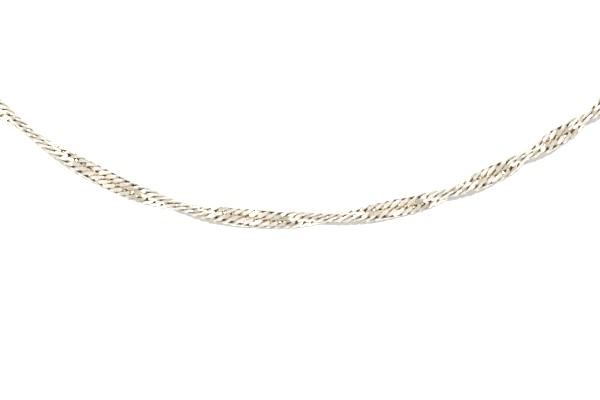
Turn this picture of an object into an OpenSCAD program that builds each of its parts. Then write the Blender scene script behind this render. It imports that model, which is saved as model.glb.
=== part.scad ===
// Singapore chain necklace: a flat curb chain that turns steadily about its own line, closed by a
// spring ring clasp. It lies on a surface at z = 0 as one open loop, front towards -Y, clasp at +Y.

/* [Chain] */
// Width of the chain across its flat faces
chain_w = 2; // [1.8:0.05:2.2]
// Thickness of the chain between its flat faces
chain_t = 0.9; // [0.8:0.05:1]
// Width of the flat on each face
face_w = 1.4; // [1.2:0.1:1.6]
// Height of the flat on each edge
edge_t = 0.4; // [0.2:0.1:0.5]
// Way that the chain turns about its line
twist_hand = 1; // [-1:Left, 1:Right]

/* [End loops] */
// Outside diameter of the loop soldered to each end of the chain
loop_d = 2.2; // [2.1:0.05:2.3]
// Wire of the end loops
loop_wire = 0.45; // [0.4:0.01:0.5]
// How far each loop's wire is sunk into the end of the chain
loop_sink = 0.175; // [0.1:0.025:0.25]

/* [Rings] */
// Outside diameter of the jump ring between the chain and the clasp's eye
jump_d = 3.2; // [3.1:0.1:3.6]
// Outside diameter of the catch ring that the clasp closes on
catch_d = 4; // [3.9:0.1:4.2]
// Wire of both rings
ring_wire = 0.5; // [0.45:0.01:0.52]

/* [Clasp] */
// Outside diameter of the clasp's round body
clasp_d = 5.5; // [5.4:0.1:6]
// Thickness of the round body
clasp_wire = 1.1; // [1:0.05:1.1]
// Thickness of the tongue that closes the body
tongue_wire = 0.8; // [0.6:0.05:0.9]
// Outside diameter of the eye
eye_d = 2.2; // [2.1:0.05:2.4]
// Wire of the eye
eye_wire = 0.5; // [0.45:0.01:0.52]
// How far the eye is sunk into the body
eye_sink = 0.2; // [0.1:0.05:0.25]
// Thickness of the thumb knob
knob_d = 0.7; // [0.5:0.05:0.8]
// How far the thumb knob stands out of the body
knob_reach = 0.9; // [0.5:0.1:1.2]

/* [Hidden] */

metal = [0.91, 0.88, 0.82];
ring_fn = 64;
wire_fn = 32;

// The clasp group lies along X between the two ends of the chain. Each pull is the distance from
// a standing ring's middle to the wire that runs through it.
jump_pull = 0.6;
clasp_pull = 0.25;
catch_pull = 0.7;
loop_r = (loop_d - loop_wire) / 2;
eye_r = (eye_d - eye_wire) / 2;
clasp_r = (clasp_d - clasp_wire) / 2;
loop_reach = 2 * loop_r - loop_sink;
eye_to_clasp = eye_r + (eye_wire + clasp_wire) / 2 - eye_sink + clasp_r;
left_length = loop_reach + 2 * jump_pull + eye_r + eye_to_clasp;
right_length = clasp_r + clasp_pull + catch_pull + loop_reach;
end_x = (left_length + right_length) / 2;

// The catch ring and the jump ring stand on the surface. The clasp lies over the catch ring's
// lower wire, and the chain's ends rise to run through both rings.
lying_gap = 0.15;
clasp_z = ring_wire + clasp_wire / 2 + lying_gap;
end_z = 1.1;
end_lift = end_z - chain_t / 2;
lift_reach = 0.35;

// The line of the chain, seen from above. Each span between two rows is one half turn of the
// twist, and the chain lies flat at its ends. The first and the last row only set the direction
// in which the chain leaves the clasp group.
X = 0;
Y = 1;
shoulder = [24, 76.8];
route = [
    [shoulder.x - 2 * end_x, shoulder.y],
    [-end_x, 80.7],
    [-shoulder.x, shoulder.y],
    [-40, 66.3],
    [-51.5, 52],
    [-59, 35.3],
    [-63.2, 17.5],
    [-64.5, -1],
    [-63, -19],
    [-57.5, -36.5],
    [-48.7, -52.5],
    [-37, -66.1],
    [-20.9, -77.9],
    [-4.5, -81.8],
    [12.6, -80],
    [22.3, -75.9],
    [29, -71.9],
    [35.5, -67.3],
    [43, -60.5],
    [50.5, -50.5],
    [57.2, -37.5],
    [62, -22],
    [64.5, -4.5],
    [63.5, 14],
    [59.5, 32],
    [52, 50],
    [40.8, 65.3],
    [shoulder.x, shoulder.y],
    [end_x, 80.7],
    [2 * end_x - shoulder.x, shoulder.y]
];
half_turns = len(route) - 3;
rings_per_half_turn = 3;
ring_count = half_turns * rings_per_half_turn + 1;

// Half of the chain's cross-section is mirrored to give its eight corners, counter-clockwise
half_section = [[chain_w, edge_t], [face_w, chain_t], [-face_w, chain_t], [-chain_w, edge_t]] / 2;
section = concat(half_section, -half_section);
corners = len(section);

// Places of the clasp group's pieces
clasp_y = line_point(0)[Y];
loop_x = end_x + loop_sink - loop_r;
jump_x = jump_pull + loop_reach - end_x;
eye_x = jump_x + jump_pull + eye_r;
clasp_x = eye_x + eye_to_clasp;
catch_x = clasp_x + clasp_r + clasp_pull;

// The tongue closes the body between these two angles, and the knob stands beside it
tongue_start = 25;
tongue_end = 105;
knob_angle = 115;

// The line is a smooth curve that four neighbouring rows pull on. These are their shares in a
// point at f of the way along a span, and in the way that the line runs there.
function place_shares(f) =
    [pow(1 - f, 3), 4 - 6 * f * f + 3 * pow(f, 3), 1 + 3 * f * (1 + f - f * f), pow(f, 3)] / 6;
function way_shares(f) = [-pow(1 - f, 2), f * (3 * f - 4), 1 + f * (2 - 3 * f), f * f] / 2;
function blend(i, shares) = shares * [route[i], route[i + 1], route[i + 2], route[i + 3]];

// A point on the line, with u counted in half turns from the left end, and the way it runs there
function span(u) = min(floor(u), half_turns - 1);
function line_point(u) = blend(span(u), place_shares(u - span(u)));
function line_way(u) =
    let (way = blend(span(u), way_shares(u - span(u))))
    way / norm(way);

// The cross-section turned about the line, resting on the surface, and lifted at the two ends
function turned(p, angle) = [p.x * cos(angle) - p.y * sin(angle), p.x * sin(angle) + p.y * cos(angle)];
function lift(u) = end_lift * pow(max(0, 1 - min(u, half_turns - u) / lift_reach), 2);
function tube_ring(u) =
    let (
        middle = line_point(u),
        way = line_way(u),
        profile = [for (p = section) turned(p, twist_hand * 180 * u)],
        z = lift(u) - min([for (p = profile) p.y])
    )
    [for (p = profile) [middle[X] - way.y * p.x, middle[Y] + way.x * p.x, z + p.y]];

// Two triangles for each side of the tube between two rings, split along the diagonal that the
// twist pushes outwards
function side(n, k) =
    let (a = n * corners + k, b = n * corners + (k + 1) % corners, c = b + corners, d = a + corners)
    twist_hand < 0 ? [[a, d, c], [a, c, b]] : [[a, d, b], [b, d, c]];

module chain_tube() {
    first = [for (k = [0:corners - 1]) k];
    last = [for (k = [corners - 1:-1:0]) (ring_count - 1) * corners + k];
    sides = [for (n = [0:ring_count - 2], k = [0:corners - 1]) each side(n, k)];
    polyhedron(
        points = [for (n = [0:ring_count - 1]) each tube_ring(n / rings_per_half_turn)],
        faces = concat([first], sides, [last])
    );
}

// A closed ring of round wire, lying flat about its middle
module wire_ring(outer_d, wire, start = 0, end = 360) {
    rotate([0, 0, start])
        rotate_extrude(angle = end - start, $fn = ring_fn)
            translate([(outer_d - wire) / 2, 0])
                circle(d = wire, $fn = wire_fn);
}

// A ring that stands on the surface with the chain's line running through it
module standing_ring(x, outer_d) {
    color(metal)
        translate([x, clasp_y, outer_d / 2])
            rotate([90, 0, 0])
                wire_ring(outer_d, ring_wire);
}

module chain() {
    color(metal) {
        chain_tube();
        for (x = [-loop_x, loop_x])
            translate([x, clasp_y, end_z])
                wire_ring(loop_d, loop_wire);
    }
}

module jump_ring() {
    standing_ring(jump_x, jump_d);
}

module catch_ring() {
    standing_ring(catch_x, catch_d);
}

module knob() {
    rotate([0, 0, knob_angle])
        translate([clasp_r, 0, 0])
            rotate([0, 90, 0])
                cylinder(d = knob_d, h = clasp_wire / 2 + knob_reach, $fn = wire_fn);
}

module clasp() {
    color(metal) {
        translate([clasp_x, clasp_y, clasp_z]) {
            wire_ring(clasp_d, clasp_wire, tongue_end, 360 + tongue_start);
            wire_ring(clasp_d - clasp_wire + tongue_wire, tongue_wire);
            knob();
        }
        translate([eye_x, clasp_y, clasp_z])
            wire_ring(eye_d, eye_wire);
    }
}

chain();
jump_ring();
clasp();
catch_ring();
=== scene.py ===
import math
import random
from bisect import bisect

import bpy
from mathutils import Euler, Matrix, Vector


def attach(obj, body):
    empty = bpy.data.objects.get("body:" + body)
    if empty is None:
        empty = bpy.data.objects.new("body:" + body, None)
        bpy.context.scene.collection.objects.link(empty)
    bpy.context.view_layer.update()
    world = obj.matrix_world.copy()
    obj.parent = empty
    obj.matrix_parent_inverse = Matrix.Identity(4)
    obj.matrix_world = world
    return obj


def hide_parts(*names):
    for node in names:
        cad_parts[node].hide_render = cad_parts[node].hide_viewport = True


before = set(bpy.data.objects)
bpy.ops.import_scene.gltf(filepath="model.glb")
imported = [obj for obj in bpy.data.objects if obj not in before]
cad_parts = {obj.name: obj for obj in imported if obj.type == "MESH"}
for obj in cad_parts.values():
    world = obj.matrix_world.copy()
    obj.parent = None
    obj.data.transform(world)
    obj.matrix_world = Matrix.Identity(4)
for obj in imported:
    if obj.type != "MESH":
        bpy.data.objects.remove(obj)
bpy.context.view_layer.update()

# Camera: straight above the front of the necklace, which lies on the surface. A long lens at the
# distance where 600 px take in 66.6 mm of the chain, with the lowest part of the loop a little
# below the middle of the frame.
MM = 0.001
photo_px, photo_columns = 0.111 * MM, 600
photo_width = photo_columns * photo_px
aim_right_px, aim_up_px = 3.4, 19.9
front_y = -81 * MM
view_x, view_y = aim_right_px * photo_px, front_y + aim_up_px * photo_px
chain_mid_z = 0.7 * MM
lens_mm, sensor_mm = 100, 36
camera_z = chain_mid_z + photo_width * lens_mm / sensor_mm

bpy.ops.object.camera_add(location=(view_x, view_y, camera_z), rotation=(0, 0, 0))
camera = bpy.context.object
camera.data.lens = lens_mm
camera.data.sensor_width = sensor_mm
camera.data.clip_start = 10 * MM
bpy.context.scene.camera = camera
bpy.context.scene.view_settings.view_transform = "Standard"


# Surface and light: a plain white card in a white tent, which is dimmer away from the lamp and round
# its skirt. The lamp is small and strong and stands high up beyond the chain, to the left, so that
# the card is overexposed and only a thin shadow lies along the chain's near side.
class Shade:
    """One shader socket. Arithmetic on it adds Math nodes, and node() adds any other node."""

    def __init__(self, tree, socket=None):
        self.tree = tree
        self.socket = socket

    def feed(self, target, value):
        if isinstance(value, Shade):
            self.tree.links.new(value.socket, target)
        else:
            target.default_value = value

    def node(self, kind, settings=None, inputs=None, output=0):
        added = self.tree.nodes.new("ShaderNode" + kind)
        for name, value in (settings or {}).items():
            if name == "stops":
                for stop, (position, color) in zip(added.color_ramp.elements, value):
                    stop.position = position
                    stop.color = color
            else:
                setattr(added, name, value)
        for name, value in (inputs or {}).items():
            self.feed(added.inputs[name], value)
        return Shade(self.tree, added.outputs[output])

    def part(self, output):
        """Another output of the node that this one comes from."""
        return Shade(self.tree, self.socket.node.outputs[output])

    def maths(self, operation, *values):
        return self.node("Math", {"operation": operation}, dict(enumerate(values)))

    def fade(self, low, high):
        """0 where this is below low, 1 where it is above high, and smooth between them."""
        inputs = {"Value": self, "From Min": low, "From Max": high}
        return self.node("MapRange", {"interpolation_type": "SMOOTHSTEP"}, inputs)

    def between(self, start, end):
        """The colour start where this is 0, and the colour end where it is 1."""
        return self.node("Mix", {"data_type": "RGBA"}, {0: self, 6: start, 7: end}, 2)

    def stretched(self, *scales):
        """This vector with each of its three parts multiplied."""
        return self.node("VectorMath", {"operation": "MULTIPLY"}, {0: self, 1: scales})

    def towards(self, way):
        """How far this vector reaches along another."""
        return self.node("VectorMath", {"operation": "DOT_PRODUCT"}, {0: self, 1: way}, "Value")

    def dents(self, strength, depth):
        """A Normal that stands up by depth where this is 1."""
        return self.node("Bump", inputs={"Strength": strength, "Distance": depth, "Height": self})

    def __abs__(self):
        return self.maths("ABSOLUTE", self)

    def __add__(self, other):
        return self.maths("ADD", self, other)

    def __radd__(self, other):
        return self.maths("ADD", other, self)

    def __sub__(self, other):
        return self.maths("SUBTRACT", self, other)

    def __rsub__(self, other):
        return self.maths("SUBTRACT", other, self)

    def __mul__(self, other):
        return self.maths("MULTIPLY", self, other)

    def __rmul__(self, other):
        return self.maths("MULTIPLY", other, self)


def new_material(name, **values):
    """A Principled material with these plain values, and a Shade to build on it."""
    material = bpy.data.materials.new(name)
    material.use_nodes = True
    shader = material.node_tree.nodes["Principled BSDF"]
    for socket, value in values.items():
        shader.inputs[socket.replace("_", " ")].default_value = value
    return material, Shade(material.node_tree), shader.inputs


card_radius = 1500 * MM
card_white, grain_white = (0.88, 0.88, 0.88, 1), (0.92, 0.92, 0.92, 1)
bpy.ops.object.select_all(action="DESELECT")
bpy.ops.mesh.primitive_circle_add(
    vertices=96, radius=card_radius, fill_type="NGON", location=(0, 0, 0),
)
table = bpy.context.object
table.name = "table_top"
white_card, shade, sockets = new_material("white_card", Roughness=0.9)
grain = shade.node("TexNoise", inputs={
    "Vector": shade.node("TexCoord", output="Object"),
    "Scale": 4000,
    "Detail": 3,
})
shade.feed(sockets["Base Color"], grain.between(card_white, grain_white))
shade.feed(sockets["Normal"], grain.dents(strength=0.05, depth=0.01 * MM))
table.data.materials.append(white_card)

lamp_turn, lamp_height = math.radians(114), math.radians(75)
lamp_distance, lamp_size, lamp_watts = 500 * MM, 40 * MM, 2.2
lamp_way = Vector((
    math.cos(lamp_turn) * math.cos(lamp_height),
    math.sin(lamp_turn) * math.cos(lamp_height),
    math.sin(lamp_height),
))
skirt_way = Vector((-0.05, 0.09, 1))
lit_white, dim_white, skirt_white = (1, 1, 1, 1), (0.56, 0.54, 0.5, 1), (0.72, 0.69, 0.64, 1)
world = bpy.data.worlds.new("white_tent")
bpy.context.scene.world = world
world.use_nodes = True
shade = Shade(world.node_tree)
way = shade.node("TexCoord", output="Generated")
towards_lamp = way.towards(lamp_way)
tent = shade.node("ValToRGB", {"stops": ((0, dim_white), (0.85, lit_white))}, {0: towards_lamp})
over_skirt = way.towards(skirt_way)
background = world.node_tree.nodes["Background"]
shade.feed(background.inputs["Color"], over_skirt.fade(0, 0.2).between(skirt_white, tent))

lamp_target = Vector((0, view_y, 0))
bpy.ops.object.light_add(type="AREA", location=lamp_target + lamp_distance * lamp_way)
lamp = bpy.context.object
lamp.name = "soft_lamp"
lamp.data.shape = "DISK"
lamp.data.size = lamp_size
lamp.data.energy = lamp_watts
lamp.rotation_euler = (-lamp_way).to_track_quat("-Z", "Y").to_euler()


# Chain: about 500 curb links of white gold wire, each bent to an oval and twisted so that it
# passes through the next three. The woven chain is pressed, diamond-cut flat on both faces and both
# edges, and turned about its line.

# The line of the chain, seen from above, in millimetres. Each span between two rows is one half
# turn, and the first and the last row only set the way in which the chain leaves the clasp group.
route = [
    (12, 76.8), (-6, 80.7), (-24, 76.8), (-40, 66.3), (-51.5, 52), (-59, 35.3), (-63.2, 17.5),
    (-64.5, -1), (-63, -19), (-57.5, -36.5), (-48.7, -52.5), (-37, -66.1), (-20.9, -77.9),
    (-4.5, -81.8), (12.6, -80), (22.3, -75.9), (29, -71.9), (35.5, -67.3), (43, -60.5),
    (50.5, -50.5), (57.2, -37.5), (62, -22), (64.5, -4.5), (63.5, 14), (59.5, 32), (52, 50),
    (40.8, 65.3), (24, 76.8), (6, 80.7), (-12, 76.8),
]
half_turns = len(route) - 3
twist_hand = 1
link_pitch = 0.88 * MM
link_length, link_width = 3.7 * MM, 2.06 * MM
end_wire, side_wire = 0.58 * MM, 0.49 * MM
wire_sides, link_sides = 6, 12
link_twist = math.radians(-128)
face_cut, edge_cut = 0.45 * MM, 1.0 * MM
crease_angle = math.radians(35)

# The chain's two ends are lifted to meet the clasp group, within this part of a half turn
end_z, lift_reach = 1.1 * MM, 0.35
end_lift = end_z - face_cut


def keep_places(link, name):
    """Keep each corner's place now, in millimetres, in an attribute that the materials read."""
    places = link.data.attributes.new(name, "FLOAT_VECTOR", "POINT")
    for place, corner in zip(places.data, link.data.vertices):
        place.vector = corner.co / MM


def oval_link(materials):
    """One straight link: an oval of wire, twisted and then cut flat on its faces and edges."""
    bpy.ops.object.select_all(action="DESELECT")
    bpy.ops.curve.primitive_bezier_circle_add(radius=1)
    link = bpy.context.object
    bpy.ops.object.mode_set(mode="EDIT")
    half_length, half_width = (link_length - end_wire) / 2, (link_width - side_wire) / 2
    bpy.ops.transform.resize(value=(half_length, half_width, 1))
    bpy.ops.object.mode_set(mode="OBJECT")
    for bend in link.data.splines[0].bezier_points:
        bend.radius = 1 if abs(bend.co.x) > half_length / 2 else side_wire / end_wire
    link.data.resolution_u = link_sides // 4
    link.data.bevel_depth = end_wire / 2
    link.data.bevel_resolution = wire_sides // 2 - 2
    bpy.ops.object.convert(target="MESH")
    keep_places(link, "flat_place")
    for material in materials:
        link.data.materials.append(material)
    twist = link.modifiers.new("twist", "SIMPLE_DEFORM")
    twist.deform_method = "TWIST"
    twist.deform_axis = "X"
    twist.angle = link_twist
    bpy.ops.object.modifier_apply(modifier="twist")
    bpy.ops.object.mode_set(mode="EDIT")
    link.active_material_index = 1
    for cut, axis in ((face_cut, 2), (edge_cut, 1)):
        for side in (-1, 1):
            outwards = Vector((0, 0, 0))
            outwards[axis] = side
            bpy.ops.mesh.select_all(action="SELECT")
            bpy.ops.mesh.bisect(
                plane_co=outwards * cut, plane_no=outwards,
                use_fill=True, clear_outer=True, threshold=1e-7,
            )
            bpy.ops.object.material_slot_assign()
    bpy.ops.object.mode_set(mode="OBJECT")
    bpy.ops.object.shade_smooth_by_angle(angle=crease_angle)
    keep_places(link, "place")
    return link


def line_point(u):
    """A point on the chain's line, with u counted in half turns from its left end."""
    i = min(int(u), half_turns - 1)
    f = u - i
    shares = ((1 - f) ** 3, 4 - 6 * f * f + 3 * f ** 3, 1 + 3 * f * (1 + f - f * f), f ** 3)
    rows = list(zip(shares, route[i:i + 4]))
    x, y = (sum(share * row[k] for share, row in rows) / 6 * MM for k in (0, 1))
    lift = end_lift * max(0, 1 - min(u, half_turns - u) / lift_reach) ** 2
    return Vector((x, y, lift))


# Each corner of a link keeps its place in millimetres on the straight link, before and after the
# twist, and the materials go by it. The wire is bright outside, with a painted warmer tint within
# the weave for light bounced between the wires, and painted shade down its flanks where the wires
# meet. The small hollows by the edges are painted near-black, as painted shade.
outer_gold, bounce_tinted_gold = (0.95, 0.885, 0.765, 1), (0.97, 0.89, 0.76, 1)
shaded_flank_gold, painted_pit_shade = (0.7, 0.61, 0.48, 1), (0.03, 0.025, 0.02, 1)
drawn_wire, shade, sockets = new_material("drawn_wire", Metallic=1)
spot = shade.node("Attribute", {"attribute_name": "place"}, output="Vector")
place = shade.node("SeparateXYZ", inputs={0: spot})
along_link, across, height = (abs(place.part(axis)) for axis in "XYZ")
outer = shade.maths("MAXIMUM", across * (MM / edge_cut), height * (MM / face_cut))
# Painted reflection: a slightly warmer tint within the weave stands in for light bounced between the
# wires
metal = outer.fade(0.5, 0.85).between(bounce_tinted_gold, outer_gold)
marks = shade.node("TexNoise", inputs={"Vector": spot, "Scale": 6, "Detail": 4, "Roughness": 0.7})
# Painted shade: near-black spots in the small hollows by the link edges, where little light gets in
pit_shade = across.fade(0.58, 0.64) * (1 - outer.fade(0.9, 0.98))
pit_shade = pit_shade * (1 - (along_link + marks * 0.5 - 0.25).fade(0.1, 0.52))
flat_spot = shade.node("Attribute", {"attribute_name": "flat_place"}, output="Vector")
flank = abs(shade.node("SeparateXYZ", inputs={0: flat_spot}, output="Z"))
# Painted shade: the wire is darker down its flanks, in the grooves where the wires meet
metal = flank.fade(0.13, 0.23).between(metal, shaded_flank_gold)
shade.feed(sockets["Base Color"], pit_shade.between(metal, painted_pit_shade))
shade.feed(sockets["Roughness"], marks * 0.16 + 0.07 + pit_shade * 0.3)
shade.feed(sockets["Normal"], marks.dents(strength=0.15, depth=0.01 * MM))

# The cutter leaves fine lines across each flat, and no two flats come out quite alike
cut_gold, bright_cut_gold = (0.93, 0.86, 0.74, 1), (1.0, 0.955, 0.87, 1)
diamond_cut, shade, sockets = new_material("diamond_cut", Metallic=1)
spot = shade.node("Attribute", {"attribute_name": "place"}, output="Vector")
lines = shade.node("TexNoise", inputs={
    "Vector": spot.stretched(40, 4, 4),
    "Scale": 1,
    "Detail": 2,
})
patches = shade.node("TexNoise", inputs={
    "Vector": shade.node("TexCoord", output="Object"),
    "Scale": 1100,
    "Detail": 1,
})
shade.feed(sockets["Base Color"], patches.fade(0.42, 0.6).between(cut_gold, bright_cut_gold))
shade.feed(sockets["Roughness"], lines * 0.08 + patches * 0.08 + 0.02)
shade.feed(sockets["Normal"], lines.dents(strength=0.1, depth=0.005 * MM))
link = oval_link((drawn_wire, diamond_cut))

# Distances along the line, in small steps
steps = 4000
stations = [half_turns * n / steps for n in range(steps + 1)]
points = [line_point(u) for u in stations]
along = [0.0]
for a, b in zip(points, points[1:]):
    along.append(along[-1] + (b - a).length)
line_length = along[-1]


def place_at(distance):
    """How far along the route, in half turns, a distance from the chain's left end is."""
    high = min(max(bisect(along, distance), 1), steps)
    low = high - 1
    share = (distance - along[low]) / (along[high] - along[low])
    return stations[low] + share * (stations[high] - stations[low])


# Half of the woven chain's height, when it is turned by each small part of a half turn
turn_steps = 720
corners = [corner.co.copy() for corner in link.data.vertices]
half_heights = []
for n in range(turn_steps):
    turn = math.pi * n / turn_steps
    half_heights.append(max(c.y * math.sin(turn) + c.z * math.cos(turn) for c in corners))

# The chain's way at a place is taken from this far before it to this far after it, in half turns
way_reach = 0.01


def chain_pose(distance):
    """The turned cross-section of the chain, resting on the surface, at a distance along it."""
    u = place_at(distance)
    before, after = line_point(max(u - way_reach, 0)), line_point(min(u + way_reach, half_turns))
    way = (after - before).normalized()
    side = Vector((0, 0, 1)).cross(way).normalized()
    axes = Matrix((way, side, way.cross(side))).transposed().to_4x4()
    turn = twist_hand * math.pi * u
    height = half_heights[round(turn / math.pi * turn_steps) % turn_steps]
    middle = line_point(u) + Vector((0, 0, height))
    return Matrix.Translation(middle) @ axes @ Matrix.Rotation(turn, 4, "X")


# Every link is tilted by a degree or so, and none goes below the surface
link_tilt = math.radians(1.2)
random.seed(7)
first_link = link_length / 2
count = round((line_length - 2 * first_link) / link_pitch) + 1
pitch = (line_length - 2 * first_link) / (count - 1)
links = []
for n in range(count):
    tilt = Euler([random.gauss(0, link_tilt) for _ in range(3)]).to_matrix()
    copy = link.copy()
    copy.data = link.data.copy()
    distance = first_link + n * pitch
    tilted = [tilt @ corner.co for corner in copy.data.vertices]
    bent = [chain_pose(distance + point.x) @ Vector((0, point.y, point.z)) for point in tilted]
    sunk = Vector((0, 0, min(0, min(point.z for point in bent))))
    for corner, point in zip(copy.data.vertices, bent):
        corner.co = point - sunk
    bpy.context.collection.objects.link(copy)
    links.append(copy)
bpy.data.objects.remove(link)
bpy.ops.object.select_all(action="DESELECT")
for one in links:
    one.select_set(True)
bpy.context.view_layer.objects.active = links[0]
bpy.ops.object.join()
chain = bpy.context.object
chain.name = "chain_links"
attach(chain, "root")
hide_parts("chain")


# End loops: a closed ring of round wire soldered to each end of the chain, with a bead of solder
# over the joint. Drawn white gold wire, bent round a mandrel and polished.
loop_radius, loop_wire, loop_sink = 0.875 * MM, 0.45 * MM, 0.175 * MM
bead_reach, bead_size = 0.15 * MM, (0.55 * MM, 0.8 * MM, 0.4 * MM)
chain_end = line_point(half_turns)
loop_x = chain_end.x + loop_sink - loop_radius
bead_x = chain_end.x + bead_reach

worn_gold, polished_gold = (0.8, 0.73, 0.61, 1), (0.88, 0.81, 0.69, 1)
polished, shade, sockets = new_material("polished_metal", Metallic=1)
spot = shade.node("TexCoord", output="Object")
scuffs = shade.node("TexNoise", inputs={
    "Vector": spot.stretched(9000, 2500, 2500),
    "Scale": 1,
    "Detail": 3,
    "Roughness": 0.6,
})
wear = shade.node("TexNoise", inputs={"Vector": spot, "Scale": 900, "Detail": 2})
shade.feed(sockets["Base Color"], wear.fade(0.35, 0.65).between(worn_gold, polished_gold))
shade.feed(sockets["Roughness"], scuffs * 0.1 + wear * 0.1 + 0.02)
shade.feed(sockets["Normal"], scuffs.dents(strength=0.12, depth=0.01 * MM))

for end, name in ((-1, "left"), (1, "right")):
    bpy.ops.object.select_all(action="DESELECT")
    bpy.ops.mesh.primitive_torus_add(
        major_radius=loop_radius, minor_radius=loop_wire / 2,
        major_segments=48, minor_segments=16, location=(end * loop_x, chain_end.y, end_z),
    )
    loop = bpy.context.object
    bpy.ops.mesh.primitive_uv_sphere_add(
        segments=24, ring_count=12, radius=1, location=(end * bead_x, chain_end.y, end_z),
    )
    bead = bpy.context.object
    bead.scale = bead_size
    loop.select_set(True)
    bpy.context.view_layer.objects.active = loop
    bpy.ops.object.transform_apply(location=True, rotation=True, scale=True)
    bpy.ops.object.join()
    bpy.ops.object.shade_smooth()
    loop.name = "end_loop_" + name
    loop.data.materials.append(polished)
    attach(loop, "root")
    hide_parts("chain")


# Clasp, jump ring and catch ring: the drawn solids as they are. The clasp is a hollow ring of
# pressed metal with its eye soldered on, and the two rings are round wire, all of them polished.
for name in ("jump_ring", "clasp", "catch_ring"):
    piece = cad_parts[name]
    piece.data.materials.clear()
    piece.data.materials.append(polished)
